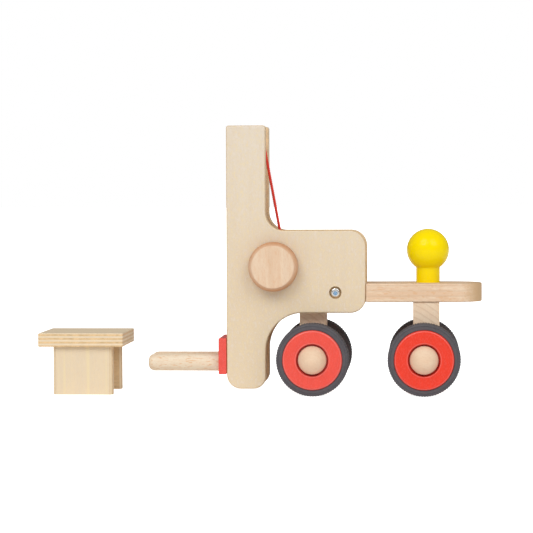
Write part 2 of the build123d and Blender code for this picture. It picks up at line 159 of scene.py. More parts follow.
class ForkliftStage(PropertyGroup):
    """Camera, light and floor."""

    yaw: FloatProperty(
        name="Yaw", description="Turn of the camera from straight across the truck",
        default=math.radians(4.06), subtype="ANGLE",
    )
    pitch: FloatProperty(
        name="Pitch", description="Downward tilt of the camera", default=math.radians(1.86), subtype="ANGLE"
    )
    roll: FloatProperty(
        name="Roll", description="Turn of the camera about its own axis",
        default=math.radians(-0.21), subtype="ANGLE",
    )
    distance: FloatProperty(
        name="Distance", description="From the camera to the truck's middle plane",
        default=2.032, min=0.5, unit="LENGTH",
    )
    aim: FloatVectorProperty(
        name="Aim", description="Point looked at, from the middle of the whole object",
        default=(4.4 * MM, 0, -6.7 * MM), subtype="TRANSLATION", precision=5,
    )
    lens: FloatProperty(
        name="Lens", description="Focal length in millimetres", default=148.6, min=20
    )
    key_from: FloatVectorProperty(
        name="Key from", description="Direction that the key light comes from", subtype="XYZ",
        default=(-0.75, -1.4, 1.4),
    )
    key_strength: FloatProperty(
        name="Key light", description="Strength of the key light", default=1.35, min=0
    )
    second_from: FloatVectorProperty(
        name="Second from", description="Direction that the second light comes from", subtype="XYZ",
        default=(1.0, -1.3, 1.4),
    )
    second_strength: FloatProperty(
        name="Second light", description="Strength of the second light", default=0.98, min=0
    )
    spread: FloatProperty(
        name="Spread", description="Apparent size of the two lights, which softens their shadows",
        default=math.radians(38), min=0, subtype="ANGLE",
    )
    fill: FloatProperty(
        name="Fill", description="Strength of the white light from all round", default=0.34, min=0
    )
    mirrored: FloatProperty(
        name="Mirrored", description="Strength of the white light where it is reflected", default=0.22, min=0
    )


# ---------------------------------------------------------- shader expressions
class Value:
    """A shader socket that works in Python expressions. Each operator adds its Math node."""

    def __init__(self, tree, socket):
        self.tree = tree
        self.socket = socket

    def math(self, operation, *values):
        node = self.tree.nodes.new("ShaderNodeMath")
        node.operation = operation
        for socket, value in zip(node.inputs, values):
            connect(self.tree, socket, value)
        return Value(self.tree, node.outputs[0])

    def __add__(self, other):
        return self.math("ADD", self, other)

    def __sub__(self, other):
        return self.math("SUBTRACT", self, other)

    def __mul__(self, other):
        return self.math("MULTIPLY", self, other)

    def __truediv__(self, other):
        return self.math("DIVIDE", self, other)

    def __radd__(self, other):
        return self.math("ADD", other, self)

    def __rsub__(self, other):
        return self.math("SUBTRACT", other, self)

    def __rmul__(self, other):
        return self.math("MULTIPLY", other, self)

    def __rtruediv__(self, other):
        return self.math("DIVIDE", other, self)


def connect(tree, socket, value):
    """Link a Value into a socket, or set a plain number, colour or vector on it."""
    if isinstance(value, Value):
        tree.links.new(value.socket, socket)
    elif hasattr(value, "__len__") and socket.type == "RGBA":
        socket.default_value = (*value[:3], 1.0)
    else:
        socket.default_value = value


class Finish:
    """A material being made. node() adds any node and gives back one of its outputs as a Value."""

    def __init__(self, name):
        self.material = bpy.data.materials.new(name)
        self.material.use_nodes = True
        self.tree = self.material.node_tree
        self.tree.nodes.clear()

    def node(self, kind, settings=None, inputs=None, output=0):
        """Add a node: its settings first (a ramp's under "stops"), then values or links of its sockets."""
        node = self.tree.nodes.new(kind)
        for name, value in (settings or {}).items():
            if name == "stops":
                for place, colour in value:
                    stop = node.color_ramp.elements.new(place)
                    stop.color = (*colour, 1)
                node.color_ramp.elements.remove(node.color_ramp.elements[0])
                node.color_ramp.elements.remove(node.color_ramp.elements[-1])
            else:
                setattr(node, name, value)
        for name, value in (inputs or {}).items():
            connect(self.tree, node.inputs[name], value)
        return Value(self.tree, node.outputs[output]) if node.outputs else None

    def place_mm(self):
        """The point on the piece in the object's own frame, in millimetres."""
        point = self.node("ShaderNodeTexCoord", output="Object")
        return self.node("ShaderNodeVectorMath", {"operation": "SCALE"}, {0: point, "Scale": 1 / MM})

    def stretch(self, vector, factors):
        return self.node("ShaderNodeVectorMath", {"operation": "MULTIPLY"}, {0: vector, 1: factors})

    def shift(self, vector, offset):
        return self.node("ShaderNodeVectorMath", {"operation": "ADD"}, {0: vector, 1: offset})

    def part(self, vector, axis):
        return self.node("ShaderNodeSeparateXYZ", None, {0: vector}, output=axis)

    def noise(self, vector, factors, detail=2.0, roughness=0.5):
        """Noise from 0 to 1. Its features are about 1/factor millimetres wide along each axis."""
        stretched = self.stretch(vector, factors)
        inputs = {"Vector": stretched, "Scale": 1.0, "Detail": detail, "Roughness": roughness}
        return self.node("ShaderNodeTexNoise", None, inputs)

    def step(self, value, low, high):
        """0 below low, 1 above high, and a smooth rise between them."""
        return self.node(
            "ShaderNodeMapRange", {"interpolation_type": "SMOOTHSTEP"},
            {"Value": value, "From Min": low, "From Max": high},
        )

    def mix(self, factor, first, second):
        """Colour mix: first where the factor is 0, second where it is 1."""
        settings = {"data_type": "RGBA"}
        return self.node("ShaderNodeMix", settings, {0: factor, 6: first, 7: second}, output=2)

    def reach(self, vector, centre, axis):
        """How far the point is from a line through a centre along one axis."""
        flat = [1.0, 1.0, 1.0]
        flat[axis] = 0.0
        across = self.stretch(self.shift(vector, tuple(-c for c in centre)), tuple(flat))
        return self.node("ShaderNodeVectorMath", {"operation": "LENGTH"}, {0: across}, output="Value")

    def bump(self, height, distance_mm):
        return self.node(
            "ShaderNodeBump", None, {"Strength": 1.0, "Distance": distance_mm * MM, "Height": height}
        )

    def surface(self, **inputs):
        """Close the material with a Principled shader. An underscore in a name stands for a space."""
        sockets = {name.replace("_", " "): value for name, value in inputs.items()}
        shader = self.node("ShaderNodeBsdfPrincipled", None, sockets)
        self.node("ShaderNodeOutputMaterial", None, {"Surface": shader})
        return self.material


# ------------------------------------------------------------------- finishes
def long_along(grain, across, along):
    """Stretch factors per millimetre: fine across the grain and slow along it."""
    factors = [across, across, across]
    factors[grain] = along
    return tuple(factors)


def timber(finish, place, grain, light, dark, fleck, fleck_strength, seed=0.0, figure=1.0):
    """Colour and height of solid wood whose fibres run along one axis.

    Slow bands across the grain set the tone, fine fibres and pores darken it, and short dashes are
    its rays. All are solid patterns, so a cut across the fibres shows dots instead of lines. A low
    figure keeps the bands and fibres faint, as on sliced veneer.
    """
    moved = finish.shift(place, (seed, 1.7 * seed, 2.3 * seed))
    bands = finish.noise(moved, long_along(grain, 0.11, 0.009), 3.0, 0.55)
    mottle = finish.noise(moved, long_along(grain, 0.42, 0.12), 2.0, 0.6)
    fibre = finish.noise(moved, long_along(grain, 2.1, 0.085), 2.0, 0.65)
    rays = finish.noise(moved, long_along(grain, 0.95, 0.24), 1.0, 0.4)
    pores = finish.noise(moved, long_along(grain, 1.1, 0.55), 2.0, 0.6)
    tone = finish.step(bands * 0.62 + mottle * 0.38, 0.34, 0.68)
    colour = finish.mix(tone * figure, light, dark)
    lines = finish.step(fibre, 0.50, 0.74)
    colour = finish.mix(lines * (0.40 * figure), colour, dark)
    colour = finish.mix(finish.step(pores, 0.50, 0.68) * 0.28, colour, tuple(c * 0.93 for c in dark))
    dashes = finish.step(rays, 0.58, 0.68)
    colour = finish.mix(dashes * fleck_strength, colour, fleck)
    height = fibre + pores * 0.6 - dashes * 0.3
    return colour, height


def end_rings(finish, place, colour, dark, pith, grain, pitch_mm, strength):
    """Growth rings about a pith line along the grain, as darker arcs a few millimetres apart."""
    wobble = finish.noise(place, long_along(grain, 0.06, 0.01), 2.0)
    turn = finish.reach(place, pith, grain) / pitch_mm + wobble * 0.7
    saw = turn.math("FRACT", turn)
    ring = finish.step(saw, 0.55, 0.96) - finish.step(saw, 0.96, 1.0)
    return finish.mix(ring * strength, colour, dark)


def plywood(name, wood, grain, stack, face, layer_mm, cross_grain, core=0.7, seed=0.0, figure=0.6,
            sanded=0.0, bright=1.0, mottle=1.0, streaks=0.0, ends=None):
    """Plywood: layers stacked along one axis, counted from a face, alternately along and across.

    The along layers are the face veneer's wood. The cross layers are more golden, as strongly as core
    says, and a thin glue line lies between two layers, so a rounded edge shows stripes that follow
    the cut. sanded is the share of the face veneer's layer that is gone, and bright makes paler
    veneers. mottle and streaks say how strongly the face is clouded and striped. The face veneer is
    painted darker and warmer towards the floor, as painted shade. ends are the places where a board
    stops along the truck: its rounded edges cut through to the second layer there, as a thin golden
    line, and the last stretch of each end is painted paler, as a painted highlight on the rounded edge.
    """
    finish = Finish(name)
    place = finish.place_mm()
    # Painted shade: the face veneer turns darker and warmer towards the floor
    low = 1.0 - finish.step(finish.part(place, Z), 60.0, 260.0)
    pale = finish.mix(low, tuple(c * bright for c in wood.birch), tuple(c * bright for c in wood.birch_painted_low_shade))
    skin, height = timber(finish, place, grain, pale, wood.birch_shade,
                          wood.fleck, 0.07, seed, figure)
    core_dark = tuple(c * 0.72 for c in wood.ply_core)
    cross, _ = timber(finish, place, cross_grain, wood.ply_core, core_dark, wood.fleck, 0.3,
                      seed + 9.0)
    cloud = finish.noise(place, long_along(grain, 0.42, 0.24), 4.0, 0.75)
    skin = finish.mix(finish.step(cloud, 0.50, 0.66) * (0.8 * mottle), skin, wood.birch_gold)
    skin = finish.mix(finish.step(cloud, 0.49, 0.36) * (0.6 * mottle), skin, wood.birch_rose)
    if streaks:
        stripe = finish.noise(place, long_along(grain, 0.22, 0.006), 2.0, 0.6)
        skin = finish.mix(finish.step(stripe, 0.50, 0.66) * streaks, skin, wood.birch_gold)
    if ends:
        along = finish.part(place, X)
        for end, inward in zip(ends, (1.0, -1.0)):
            inset = (along - end) * inward
            line = finish.step(inset, 1.6, 2.4) - finish.step(inset, 2.4, 3.2)
            skin = finish.mix(line * 0.5, skin, core_dark)
            # Painted highlight: the last stretch of each end, on the rounded edge, is painted paler
            painted_edge_highlight = tuple(c * 1.15 for c in wood.birch_painted_low_shade)
            skin = finish.mix(finish.step(inset, 2.2, 1.4) * 0.35, skin, painted_edge_highlight)
    waver = finish.noise(place, (0.05, 0.05, 0.05), 1.0) * 0.3
    depth = finish.part(place, stack) - face
    depth = depth.math("ABSOLUTE", depth) / layer_mm + waver + sanded
    half = depth * 0.5
    parity = half.math("FRACT", half)
    is_cross = finish.step(parity, 0.47, 0.51) - finish.step(parity, 0.97, 1.0)
    layer = depth.math("FRACT", depth)
    glue = finish.step(layer, 0.88, 0.97)
    colour = finish.mix(is_cross * core, skin, cross)
    colour = finish.mix(glue * (0.25 * core), colour, tuple(c * 0.55 for c in wood.ply_core))
    rough = finish.noise(place, long_along(grain, 1.2, 0.2), 2.0) * 0.16 + 0.5
    return finish.surface(
        Base_Color=colour, Roughness=rough, Specular_IOR_Level=0.32,
        Normal=finish.bump(height + is_cross * 0.4, 0.03),
    )


def beech(name, wood, grain, tint=None, fleck_strength=0.3, pith=None, ring_mm=4.0, rings=0.5, seed=0.0,
          figure=1.0, painted_rim_shade=None, end_grain_and_shade_tail=None):
    """Sanded beech, with growth rings where a pith line is given.

    The rim shade argument is (centre, radius): beyond that radius from an axis across the truck the
    wood is painted darker brown, as painted shade on a rounded rim, stronger at top and bottom where
    end grain shows.
    The tail argument is where a board ends to the back: its last stretch is painted darker, as darker
    end grain and as painted shade where the rounded end turns from the light.
    """
    finish = Finish(name)
    place = finish.place_mm()
    pale = tuple(tint or wood.beech)
    shade = tuple(p * s / b for p, s, b in zip(pale, wood.beech_shade, wood.beech))
    colour, height = timber(finish, place, grain, pale, shade, wood.fleck, fleck_strength, seed,
                            figure)
    if pith:
        late_wood = tuple(c * 0.8 for c in shade)
        colour = end_rings(finish, place, colour, late_wood, pith, grain, ring_mm, rings)
    # Darker end grain, and painted shade where the rounded back end turns from the light
    if end_grain_and_shade_tail:
        end = finish.step(finish.part(place, X), end_grain_and_shade_tail - 20.0, end_grain_and_shade_tail - 2.0)
        colour = finish.mix(end, colour, tuple(c * k for c, k in zip(shade, (0.80, 0.76, 0.62))))
    # Painted shade on the rounded rim of a knob, stronger at top and bottom where end grain shows
    if painted_rim_shade:
        centre, radius = painted_rim_shade
        reach = finish.reach(place, centre, Y)
        height_off = (finish.part(place, Z) - centre[Z]) / radius
        end_grain = height_off.math("ABSOLUTE", height_off)
        cloud = finish.noise(place, (0.16, 0.16, 0.16), 2.0)
        patch = cloud * 0.25 + end_grain * 0.3 + 0.36
        slow, quick = finish.step(reach, radius, radius + 3.2), finish.step(reach, radius, radius + 0.5)
        colour = finish.mix((slow * 0.45 + quick * 0.55) * patch, colour, wood.painted_rim_shade)
    rough = finish.noise(place, long_along(grain, 0.9, 0.15), 2.0) * 0.18 + 0.5
    return finish.surface(
        Base_Color=colour, Roughness=rough, Specular_IOR_Level=0.3, Normal=finish.bump(height, 0.035)
    )


def lacquer(name, tint, grain, gloss, ripple_mm, coat=0.15, mottled=0.8, sheen=0.22, edges=None):
    """Coloured lacquer over wood: the tone drifts with the grain below, and the film is slightly uneven.

    A low gloss value is a smoother film. edges is (centre, radii): a painted highlight, a thin paler
    ring, lies on the round edges at those radii from an axis across the truck.
    """
    finish = Finish(name)
    place = finish.place_mm()
    grainy = finish.noise(place, long_along(grain, 0.30, 0.10), 3.0, 0.6)
    fine = finish.noise(place, long_along(grain, 1.3, 0.6), 2.0, 0.6)
    deep = tuple(c * 0.93 for c in tint)
    pale = tuple(c + 0.06 * (1.0 - c) for c in tint)
    colour = finish.mix(finish.step(grainy, 0.38, 0.62) * (mottled + 0.2), tint, deep)
    colour = finish.mix(finish.step(fine, 0.48, 0.68) * mottled, colour, pale)
    # Painted highlight: paler thin rings painted on the rounded edges
    if edges:
        centre, radii = edges
        reach = finish.reach(place, centre, Y)
        for radius in radii:
            painted_highlight_band = finish.step(reach, radius - 0.7, radius) - finish.step(reach, radius, radius + 0.7)
            colour = finish.mix(painted_highlight_band * 0.4, colour, tuple(c + 0.22 * (1.0 - c) for c in tint))
    rough = grainy * 0.14 + gloss
    film = finish.noise(place, (0.35, 0.35, 0.35), 2.0) * 0.8 + fine * 0.2
    return finish.surface(
        Base_Color=colour, Roughness=rough, Specular_IOR_Level=sheen,
        Coat_Weight=coat, Coat_Roughness=0.2, Normal=finish.bump(film, ripple_mm),
    )


def rubber(name, settings):
    """Matt moulded rubber with a dusty bloom in patches and a fine grain."""
    finish = Finish(name)
    place = finish.place_mm()
    base = settings.rubber
    bloom = finish.noise(place, (0.09, 0.09, 0.09), 3.0, 0.6)
    grit = finish.noise(place, (3.0, 3.0, 3.0), 2.0, 0.6)
    specks = finish.step(finish.noise(place, (0.8, 0.8, 0.8), 1.0), 0.74, 0.80)
    colour = finish.mix(finish.step(bloom, 0.3, 0.7) * 0.55, base, tuple(c * 1.35 for c in base))
    colour = finish.mix(specks * 0.35, colour, settings.dust)
    return finish.surface(
        Base_Color=colour, Roughness=grit * 0.15 + 0.56, Specular_IOR_Level=0.4,
        Normal=finish.bump(grit, 0.03),
    )


def zinc(name, metal, centre):
    """Bright zinc-plated steel, with a painted reflection: bluer around the middle of a head, a little below
    it.
    """
    finish = Finish(name)
    place = finish.place_mm()
    scratch = finish.noise(place, (4.0, 0.7, 4.0), 3.0, 0.6)
    reach = finish.reach(place, (centre[X], 0.0, centre[Z] - 0.7), Y)
    bright = finish.mix(finish.step(scratch, 0.45, 0.75) * 0.5, metal.bright, metal.dull)
    # Painted reflection: a blue patch in the lower middle of the head
    colour = finish.mix(finish.step(reach, 2.4, 1.5), bright, metal.blue)
    return finish.surface(
        Base_Color=colour, Metallic=1.0, Roughness=scratch * 0.14 + 0.14, Normal=finish.bump(scratch, 0.01)
    )


def twine(name, tint):
    """Dyed cotton cord: fuzzy threads, with painted shade in the hollows between them."""
    finish = Finish(name)
    place = finish.place_mm()
    thread = finish.noise(place, (4.0, 4.0, 2.2), 3.0, 0.7)
    # Painted shade: the low places of the thread bump are painted darker
    deep = tuple(c * 0.8 for c in tint)
    colour = finish.mix(finish.step(thread, 0.3, 0.7), deep, tint)
    return finish.surface(
        Base_Color=colour, Roughness=thread * 0.1 + 0.8, Specular_IOR_Level=0.2,
        Normal=finish.bump(thread, 0.08),
    )


def dress(object_, material):
    """Give every material slot of an object one material."""
    if not object_.material_slots:
        object_.data.materials.append(material)
    for slot in object_.material_slots:
        slot.material = material


# ------------------------------------------------------------------- surfaces
def rounded_profile(corners, steps=7):
    """Points (height, radius) along straight runs whose corners are arcs.

    Each corner is (height, radius, rounding). An arc of the given rounding is tangent to both runs,
    sampled at equal angles, with one more point just outside each of its ends so that the flat runs
    beside it shade flat. A rounding of 0 keeps the corner sharp.
    """
    points = np.array([c[:2] for c in corners], float)
    pieces = []
    for index, (here, rounding) in enumerate(zip(points, (c[2] for c in corners))):
        if rounding == 0:
            pieces.append(here[None])
            continue
        before = points[index - 1] - here
        after = points[(index + 1) % len(points)] - here
        reach = min(np.linalg.norm(before), np.linalg.norm(after))
        before, after = before / np.linalg.norm(before), after / np.linalg.norm(after)
        half = math.acos(np.clip(before @ after, -1, 1)) / 2
        cut = rounding / math.tan(half)
        bisector = (before + after) / np.linalg.norm(before + after)
        centre = here + bisector * rounding / math.sin(half)
        start, end = here + before * cut, here + after * cut
        blend = np.linspace(0, 1, steps)[:, None]
        spread = math.pi - 2 * half
        ray_a, ray_b = start - centre, end - centre
        arc = (np.sin((1 - blend) * spread) * ray_a + np.sin(blend * spread) * ray_b) / math.sin(spread)
        rest = 0.12 * min(reach - cut, rounding) if reach > cut else 0.0
        pieces.append(np.vstack([start + before * rest, centre + arc, end + after * rest]))
    return np.vstack(pieces)


def mesh_object(name, points, faces, body, replaced, sharp=32.0):
    """A mesh object whose faces point outwards and whose creases over the sharp angle stay crisp.

    Twice the area vectors of each face dotted with its first point add up to six times the volume,
    and a negative sum means that the faces have to be turned over.
    """
    faces = np.asarray(faces)
    corners = points[faces]
    fan = np.zeros(len(faces))
    for k in range(1, faces.shape[1] - 1):
        fan += np.einsum("ij,ij->i", corners[:, 0], np.cross(corners[:, k], corners[:, k + 1]))
    if fan.sum() < 0:
        faces = faces[:, ::-1]
    mesh = bpy.data.meshes.new(name)
    polygons = [tuple(dict.fromkeys(face)) for face in faces.tolist()]
    mesh.from_pydata(points.tolist(), [], [p for p in polygons if len(p) > 2])
    mesh.validate()
    mesh.polygons.foreach_set("use_smooth", np.ones(len(mesh.polygons), bool))
    mesh.set_sharp_from_angle(angle=math.radians(sharp))
    mesh.update()
    made = put(name, mesh)
    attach(made, body)
    if replaced:
        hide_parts(*replaced)
    return made


def put(name, data):
    """A new object in the scene."""
    made = bpy.data.objects.new(name, data)
    bpy.context.scene.collection.objects.link(made)
    return made


def round_box(node, side):
    """Of a round CAD piece across the truck: its radius, its middle, and its ends inwards and outwards."""
    low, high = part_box(node)
    back, face = (low.y, high.y) if side > 0 else (high.y, low.y)
    return (high.z - low.z) / 2, ((low.x + high.x) / 2, 0, (low.z + high.z) / 2), back, face


def grid_faces(rows, columns, close_rows, close_columns):
    """Four-cornered faces of a grid of points numbered row by row, joined round where it closes."""
    u = np.arange(rows if close_rows else rows - 1)
    v = np.arange(columns if close_columns else columns - 1)
    u, v = np.meshgrid(u, v, indexing="ij")
    u, v = u.ravel(), v.ravel()
    un, vn = (u + 1) % rows, (v + 1) % columns
    return np.stack([u * columns + v, un * columns + v, un * columns + vn, u * columns + vn], axis=1)


def turned(name, profile, centre, axis, body, replaced, segments=96, ripple=None):
    """A turned piece: a closed profile of (height, radius) carried round an axis through a centre.

    A point at angle a is centre + height * axis + radius * (cos a, sin a) across it. A profile that
    starts and ends on the axis gets one point there instead of a ring. ripple(angle, profile) is
    added to the radius.
    """
    profile = np.asarray(profile, float)
    angle = np.linspace(0, 2 * math.pi, segments, endpoint=False)
    height = np.broadcast_to(profile[None, :, 0], (segments, len(profile)))
    radius = np.broadcast_to(profile[None, :, 1], height.shape)
    if ripple:
        radius = radius + ripple(angle[:, None], profile[None])
    points = np.zeros((segments, len(profile), 3))
    first, second = [k for k in (X, Y, Z) if k != axis]
    points[..., axis] = height
    points[..., first] = radius * np.cos(angle)[:, None]
    points[..., second] = radius * np.sin(angle)[:, None]
    points += np.array(centre)
    solid = profile[0, 1] < 1e-9 and profile[-1, 1] < 1e-9
    faces = grid_faces(segments, len(profile), True, not solid)
    if solid:
        columns = len(profile)
        pole = faces % columns
        faces = np.where(pole == 0, 0, faces)
        faces = np.where(pole == columns - 1, columns - 1, faces)
        flat = points.reshape(-1, 3)
        used, inverse = np.unique(faces, return_inverse=True)
        return mesh_object(name, flat[used], inverse.reshape(faces.shape), body, replaced)
    return mesh_object(name, points.reshape(-1, 3), faces, body, replaced)


def strands(path, count, lay, cord_radius, sides=8):
    """Twisted strands that follow a path: returns points and faces of closed tubes.

    A strand's middle line turns round the path once in each lay. It stands out by a bit over half of
    the cord's radius, and each tube's section is a circle across the path. The two end sections are
    drawn in to their middles, so that a tube is closed.
    """
    step = np.gradient(path, axis=0)
    tangent = step / np.linalg.norm(step, axis=1)[:, None]
    travelled = np.concatenate([[0], np.cumsum(np.linalg.norm(np.diff(path, axis=0), axis=1))])
    across = np.cross(tangent, (0.0, 1.0, 0.0) if abs(tangent[0, 1]) < 0.7 else (1.0, 0.0, 0.0))
    across /= np.linalg.norm(across, axis=1)[:, None]
    other = np.cross(tangent, across)
    thick = cord_radius * 0.52
    stand = cord_radius - thick
    points, faces = [], []
    around = np.linspace(0, 2 * math.pi, sides, endpoint=False)
    for index in range(count):
        turn = 2 * math.pi * (travelled / lay + index / count)
        middle = path + stand * (np.cos(turn)[:, None] * across + np.sin(turn)[:, None] * other)
        ring = (np.cos(around)[None, :, None] * across[:, None]
                + np.sin(around)[None, :, None] * other[:, None])
        size = np.full(len(path), thick)
        size[0] = size[-1] = 0.0
        tube = middle[:, None] + ring * size[:, None, None]
        start = index * len(path) * sides
        points.append(tube.reshape(-1, 3))
        faces.append(grid_faces(len(path), sides, False, True) + start)
    return np.vstack(points), np.vstack(faces)


def cord_piece(name, path, body, replaced, settings, material, cord_radius):
    """A length of the twisted cord along a path."""
    points, faces = strands(path, settings.strands, settings.lay, cord_radius)
    made = mesh_object(name, points, faces, body, replaced, sharp=80.0)
    dress(made, material)
    return made


# ------------------------------------------------------------------- operators
class ForkliftOperator:
    """What the operators share: the scene's settings."""

    bl_options = {"REGISTER", "UNDO"}

    @property
    def wood(self):
        return bpy.context.scene.forklift_wood


class FORKLIFT_OT_boards(ForkliftOperator, Operator):
    """Finish the side panels, the deck, the axle blocks and the rods"""

    bl_idname = "forklift.boards"
    bl_label = "Boards"

    def execute(self, context):
        for side_name, side in SIDES:
            low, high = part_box(f"side_panel_{side_name}")
            face = (low.y if side < 0 else high.y) / MM
            veneer = plywood(f"panel_birch_{side_name}", self.wood, Z, Y, face, 1.34, X, core=0.8,
                             seed=3.0 * side, figure=0.5, sanded=0.6)
            dress(NODES[f"side_panel_{side_name}"], veneer)
        # The deck's back end is painted darker: end grain, and painted shade where its rounded end turns from
        # the light
        deck = beech("deck_beech", self.wood, X, self.wood.deck, 0.42, pith=(150, -60, 300), ring_mm=5.0,
                     rings=0.4, seed=5.0, figure=1.2, end_grain_and_shade_tail=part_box("deck")[1].x / MM)
        dress(NODES["deck"], deck)
        for axle_name in AXLES:
            low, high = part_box(f"{axle_name}_axle_block")
            pith = (low.x / MM - 60, 0, low.z / MM - 55)
            seed = 2.0 if axle_name == "front" else 7.0
            block = beech(f"{axle_name}_block_beech", self.wood, Y, self.wood.deck, 0.12, pith=pith,
                          ring_mm=5.0, rings=0.42, seed=seed, figure=0.5)
            dress(NODES[f"{axle_name}_axle_block"], block)
        rods = beech("rod_beech", self.wood, Y, seed=11.0)
        names = ("front_axle", "rear_axle", "front_axle_spacers", "rear_axle_spacers", "top_guide_rod",
                 "bottom_stop_rod", "front_block_dowels", "rear_block_dowels", "winch_shaft", "guide_pins",
                 "pallet_dowels")
        for name in names:
            dress(NODES[name], rods)
        dress(NODES["slide_block"], beech("slide_block_beech", self.wood, Z, seed=13.0))
        return {"FINISHED"}


class FORKLIFT_OT_wheels(ForkliftOperator, Operator):
    """Make the tyres, rims and hub caps"""

    bl_idname = "forklift.wheels"
    bl_label = "Wheels"

    def tyre(self, axle_name, side_name, side, settings, material):
        """A ribbed tyre: flat side walls with a moulded ring, round shoulders and a ribbed tread."""
        node = f"{axle_name}_tyre_{side_name}"
        radius, centre, back, face = round_box(node, side)
        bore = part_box(f"{axle_name}_rim_{side_name}")[1].z - centre[Z]
        ring = radius - 1.9 * MM
        hollow = face - side * 0.35 * MM
        wall = face - side * 0.1 * MM
        profile = rounded_profile((
            (back, bore, 0), (back, radius, 2.3 * MM), (face, radius, 2.3 * MM), (face, ring, 0.2 * MM),
            (hollow, ring - 0.35 * MM, 0.2 * MM), (hollow, ring - 1.0 * MM, 0.2 * MM),
            (wall, ring - 1.3 * MM, 0.2 * MM), (wall, bore + 0.5 * MM, 0.3 * MM),
            (face - side * 0.5 * MM, bore, 0),
        ), 6)
        # More rings along the tread, so that the ribs end softly at the shoulders
        middle = np.linspace(0.06, 0.94, 9)
        at = int(np.argmax(np.abs(np.diff(profile[:, 0]))))
        extra = profile[at] + (profile[at + 1] - profile[at]) * middle[:, None]
        profile = np.vstack([profile[:at + 1], extra, profile[at + 1:]])

        def ribs(angle, points):
            wave = np.sin(angle * settings.rib_count)
            groove = 1 / (1 + np.exp((wave + 0.25) * 7))
            shoulder = np.clip((points[..., 1] - ring) / (1.3 * MM), 0, 1)
            return -settings.rib_depth * groove * shoulder

        made = turned(node + "_ribbed", profile, centre, Y, f"{axle_name}_wheel_{side_name}",
                      [node], settings.rib_count * 8, ribs)
        dress(made, material)

    def rim(self, axle_name, side_name, side, material):
        """A turned disc with rounded edges and a deep round recess for the hub cap."""
        node = f"{axle_name}_rim_{side_name}"
        radius, centre, back, face = round_box(node, side)
        recess = round_box(f"{axle_name}_hub_cap_{side_name}", side)[0] + 1.5 * MM
        bore = round_box(f"{axle_name}_axle", side)[0] + 0.06 * MM
        floor = face - side * 6 * MM
        profile = rounded_profile((
            (back, bore, 0.4 * MM), (back, radius, 0.8 * MM), (face, radius, 2.2 * MM),
            (face, recess, 1.2 * MM), (floor, recess, 0.5 * MM), (floor, bore, 0.3 * MM),
        ), 8)
        made = turned(node + "_turned", profile, centre, Y, f"{axle_name}_wheel_{side_name}",
                      [node], 144)
        dress(made, material)

    def cap(self, axle_name, side_name, side, material):
        """A turned ball on the end of the axle, flat inside, with a faint centre mark at its pole."""
        node = f"{axle_name}_hub_cap_{side_name}"
        radius, centre, back, tip = round_box(node, side)
        middle = tip - side * radius
        start = math.acos(np.clip((middle - back) * side / radius, -1, 1))
        angle = np.linspace(start, math.pi, 34)
        height = middle - side * radius * np.cos(angle)
        across = radius * np.sin(angle)
        mark = 0.12 * MM * np.exp(-((across / (0.9 * MM)) ** 2))
        profile = np.column_stack([height - side * mark, across])
        profile[-1, 1] = 0.0
        inner = np.array([(back, 0.0), (back, across[0] * 0.9)])
        made = turned(node + "_turned", np.vstack([inner, profile]), centre, Y, "chassis", [node],
                      72)
        dress(made, material)

    def execute(self, context):
        settings = context.scene.forklift_rubber
        tyre_rubber = rubber("tyre_rubber", settings)
        caps = beech("cap_beech", self.wood, X, self.wood.cap, 0.12, seed=21.0, figure=0.35)
        for axle_name in AXLES:
            tint = self.wood.red if axle_name == "front" else self.wood.deep_red
            rim_radius, centre, *_ = round_box(f"{axle_name}_rim_left", -1)
            cap_radius = round_box(f"{axle_name}_hub_cap_left", -1)[0]
            centre = tuple(c / MM for c in centre)
            # Painted highlight: paler rings on each rim's rounded outer edge and recess edge
            red = lacquer(f"{axle_name}_rim_lacquer", tuple(tint), Z, 0.30, 0.05, coat=0.35, mottled=0.45,
                          edges=(centre, (rim_radius / MM - 1.0, cap_radius / MM + 2.4)))
            for side_name, side in SIDES:
                self.tyre(axle_name, side_name, side, settings, tyre_rubber)
                self.rim(axle_name, side_name, side, red)
                self.cap(axle_name, side_name, side, caps)
        return {"FINISHED"}


class FORKLIFT_OT_winch(ForkliftOperator, Operator):
    """Make the two winch knobs"""

    bl_idname = "forklift.winch"
    bl_label = "Winch knobs"

    def execute(self, context):
        for side_name, side in SIDES:
            node = f"winch_knob_{side_name}"
            radius, _, back, face = round_box(node, side)
            shaft, centre, _, socket = round_box("winch_shaft", side)
            # The round meets the flat face at an arris, with a small bevel on it
            sweep = np.radians(np.linspace(30, 90, 10))
            depth, width = 6.4 * MM, 3.1 * MM
            lean = (1 - np.sin(sweep)) / (1 - math.sin(sweep[0]))
            fall = (math.cos(sweep[0]) - np.cos(sweep)) / math.cos(sweep[0])
            round_ = np.column_stack([face - side * (0.35 * MM + (depth - 0.35 * MM) * fall),
                                      radius - width * lean])
            arris = rounded_profile((
                (face, 0.0, 0), (face, radius - width - 0.35 * MM, 0.25 * MM), tuple(round_[0]) + (0,),
            ), 4)
            back_edge = rounded_profile((
                (face - side * depth, radius, 0), (back, radius, 1.0 * MM), (back, shaft, 0.2 * MM),
                (socket, shaft, 0),
            ), 6)
            profile = np.vstack([arris, round_[1:], back_edge[1:], [(socket, 0.0)]])
            middle = tuple(c / MM for c in centre)
            # Painted shade: the knob's rounded rim is painted darker brown
            grain = beech(f"knob_beech_{side_name}", self.wood, Z, fleck_strength=0.22, pith=(90, 0, 320),
                          ring_mm=14.0, rings=0.12, seed=31.0 + side, figure=0.7,
                          painted_rim_shade=(middle, (radius - width) / MM - 0.3))
            made = turned(node + "_turned", profile, centre, Y, "winch", [node], 144)
            dress(made, grain)
        return {"FINISHED"}


